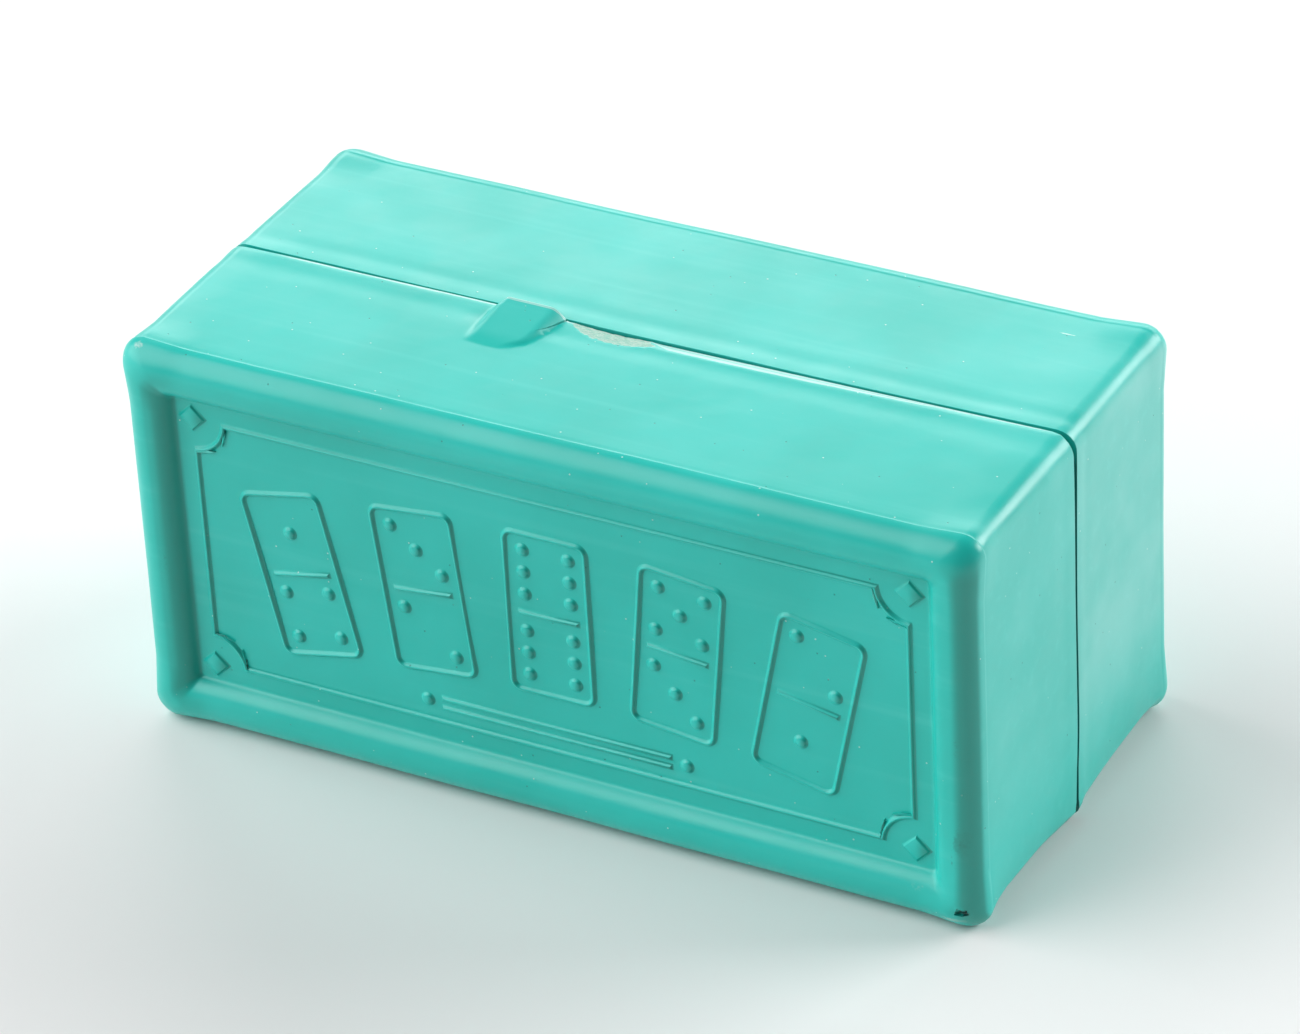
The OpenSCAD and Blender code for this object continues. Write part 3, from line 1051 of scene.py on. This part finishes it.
# Where the plastic is marked: place, reach, colour, strength and how sparse the patch is.
FRONT_MARKS = [
    ((-52.3, -24.9, 51.5), (1.7, 1.5, 1.4), "#CDE8E2", 0.75, 0.8),
    ((52.3, -26.7, 25.5), (1.6, 2.0, 6.5), "#1E6A60", 0.55, 1.02),
    ((52.7, -26.6, 12.6), (2.3, 2.5, 4.2), "#19877B", 0.6, 0.6),
    ((52.7, -26.6, 12.4), (1.7, 2.0, 2.6), "#12332D", 0.9, 0.9),
    ((51.4, -26.9, 9.5), (0.45, 2.0, 7.0), "#1F5148", 0.75, 1.0),
    ((-50.6, -26.8, 23.0), (1.5, 2.0, 7.0), "#227C6C", 0.55, 1.0),
    ((46.5, -25.8, 4.7), (5.0, 2.2, 1.8), "#A5DED4", 0.45, 0.85),
    ((51.6, -26.4, 1.8), (4.4, 2.4, 0.8), "#B4E0D5", 0.7, 0.7),
    # Painted shade: a near-black patch fills the hollow of the chip.
    ((52.6, -26.6, 3.1), (1.4, 1.3, 0.75), "#0B211E", 0.95, 0.3),
    ((54.5, -5.9, 10.0), (0.9, 0.4, 2.4), "#BFE9E2", 0.5, 0.75),
]
REAR_MARKS = [((44.8, 19.6, 51.8), (1.8, 0.25, 0.5), "#D2F2EC", 0.7, 0.4)]
polyethylene("turquoise_polyethylene_front", marks=FRONT_MARKS, worn=True)
polyethylene("turquoise_polyethylene_rear", marks=REAR_MARKS, dust_and_sheen_veil=0.2)
catch_plastic = polyethylene("turquoise_polyethylene_catch", deep="#18BAAE")
print("materials:", [m.name for m in bpy.data.materials if m.node_tree])

# %% [markdown]
# ## The torn face
# Torn polyethylene is not shiny. It necks into short fibres that scatter the light, so the
# tear looks cream grey and rough, with a little of the turquoise left in it.

# %% Torn polyethylene
torn_face, tree, shader = new_material("torn_polyethylene")
fibres = add(tree, "clouds", in_millimetres(tree, (0.5, 0.16, 0.5)), 1, 5, 0.7)
share = add(tree, "spread", fibres, 0.35, 0.65)
colour = add(tree, "blend", share, linear("#8ACDBC"), linear("#C4DDCF"))
tree.links.new(colour, shader.inputs["Base Color"])
shader.inputs["Roughness"].default_value = 0.7
shader.inputs["IOR"].default_value = POLYETHYLENE_IOR
relief = add(tree, "Bump", {"Height": fibres, "Distance": 0.12 * MM, "Strength": 1.0})
tree.links.new(relief.outputs[0], shader.inputs["Normal"])

# %% [markdown]
# ## The folded film
# The hinge is the same plastic, squeezed to a film and folded again and again. Folding
# whitens polyethylene, because it opens tiny voids that scatter the light, so the film is
# paler and more matt than the shells, with fine creases along its length.

# %% Stress-whitened polyethylene for the film
film_white, tree, shader = new_material("stress_whitened_polyethylene")
creases = add(tree, "clouds", in_millimetres(tree, (8, 0.5, 0.5)), 2, 4)
share = add(tree, "spread", creases, 0.35, 0.7)
colour = add(tree, "blend", share, linear("#5ED3C8"), linear("#B8EBE4"))
tree.links.new(colour, shader.inputs["Base Color"])
shader.inputs["Roughness"].default_value = 0.48
shader.inputs["IOR"].default_value = POLYETHYLENE_IOR
relief = add(tree, "Bump", {"Height": creases, "Distance": 0.08 * MM, "Strength": 1.0})
tree.links.new(relief.outputs[0], shader.inputs["Normal"])

# %% Paint the pieces
for piece in (front, rear):
    numbers = [face.material_index for face in piece.data.polygons]
    names = [slot.name for slot in piece.material_slots]
    print(piece.name, {name: numbers.count(i) for i, name in enumerate(names)})
for name, material in (("hinge_film", film_white), ("catch_tongue", catch_plastic)):
    node_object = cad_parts[name]
    if not node_object.material_slots:
        node_object.data.materials.append(material)
    for slot in node_object.material_slots:
        slot.material = material
    print(name, "wears", material.name)

# %% [markdown]
# ## The studio
# The photograph was taken on a pale, slightly glossy table under large soft lights. The
# shading gives them away: a broad light high on the left, a wide bright band behind the
# table that veils the top wall, and little light from beside the camera, which leaves the
# right bead dark. The floor rides on the front half, because the opened half swings below
# the table. It is see-through from beneath, so that the opened box can be seen.

# %% Floor
floor_finish, tree, shader = new_material("pale_lacquered_board")
share = add(tree, "clouds", in_millimetres(tree), 1 / 90, 3)
colour = add(tree, "blend", share, linear("#EDEEEE"), linear("#F2F2F2"))
tree.links.new(colour, shader.inputs["Base Color"])
shader.inputs["Roughness"].default_value = 0.45
shader.inputs["IOR"].default_value = 1.24
under = add(tree, "NewGeometry").outputs["Backfacing"]
clear = add(tree, "BsdfTransparent")
either = add(tree, "MixShader", {0: under, 1: shader.outputs["BSDF"], 2: clear.outputs[0]})
output = next(n for n in tree.nodes if n.type == "OUTPUT_MATERIAL")
tree.links.new(either.outputs[0], output.inputs["Surface"])
bpy.ops.object.select_all(action="DESELECT")
bpy.ops.mesh.primitive_plane_add(size=12)
floor = bpy.context.object
floor.name = "floor"
floor.data.materials.append(floor_finish)
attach(floor, "front_half")


# %% Lights
def softbox(name, direction, distance, size, radiance):
    """A large soft light that faces the box. Its strength is given as what the eye sees."""
    lamp = bpy.data.lights.new(name, "AREA")
    lamp.shape = "RECTANGLE"
    lamp.size, lamp.size_y = size
    lamp.energy = radiance * size[0] * size[1] * pi
    light = bpy.data.objects.new(name, lamp)
    scene.collection.objects.link(light)
    toward = Vector(direction).normalized()
    light.location = toward * distance + Vector((0, 0, MID_Z * MM))
    light.rotation_euler = toward.to_track_quat("Z", "Y").to_euler()
    light.visible_camera = False
    return light


softbox("high_left", (-0.69, -0.36, 0.62), 1.45, (1.83, 1.83), 2.85)
softbox("back_band", (-0.25, 0.80, 0.36), 1.5, (1.7, 0.52), 3.9)
softbox("back_right", (0.66, 0.66, 0.40), 1.5, (1.0, 0.65), 9.0)

world = bpy.data.worlds.new("studio")
scene.world = world
world.use_nodes = True
tree = world.node_tree
tree.nodes.clear()
toward = add(tree, "SeparateXYZ", {0: add(tree, "TexCoord").outputs["Generated"]})
slant = add(tree, "times", toward.outputs["X"], 0.5)
behind = add(tree, "minus", toward.outputs["Y"], slant)
low = add(tree, "spread", toward.outputs["Z"], 0.26, 0.02)
share = add(tree, "times", low, add(tree, "spread", behind, -0.6, 0.4))
glow = add(tree, "blend", share, (0.085, 0.085, 0.085, 1), (0.86, 0.87, 0.87, 1))
background = add(tree, "Background", {"Color": glow, "Strength": 1.0})
add(tree, "OutputWorld", {"Surface": background.outputs[0]})
scene.view_settings.view_transform = "Standard"
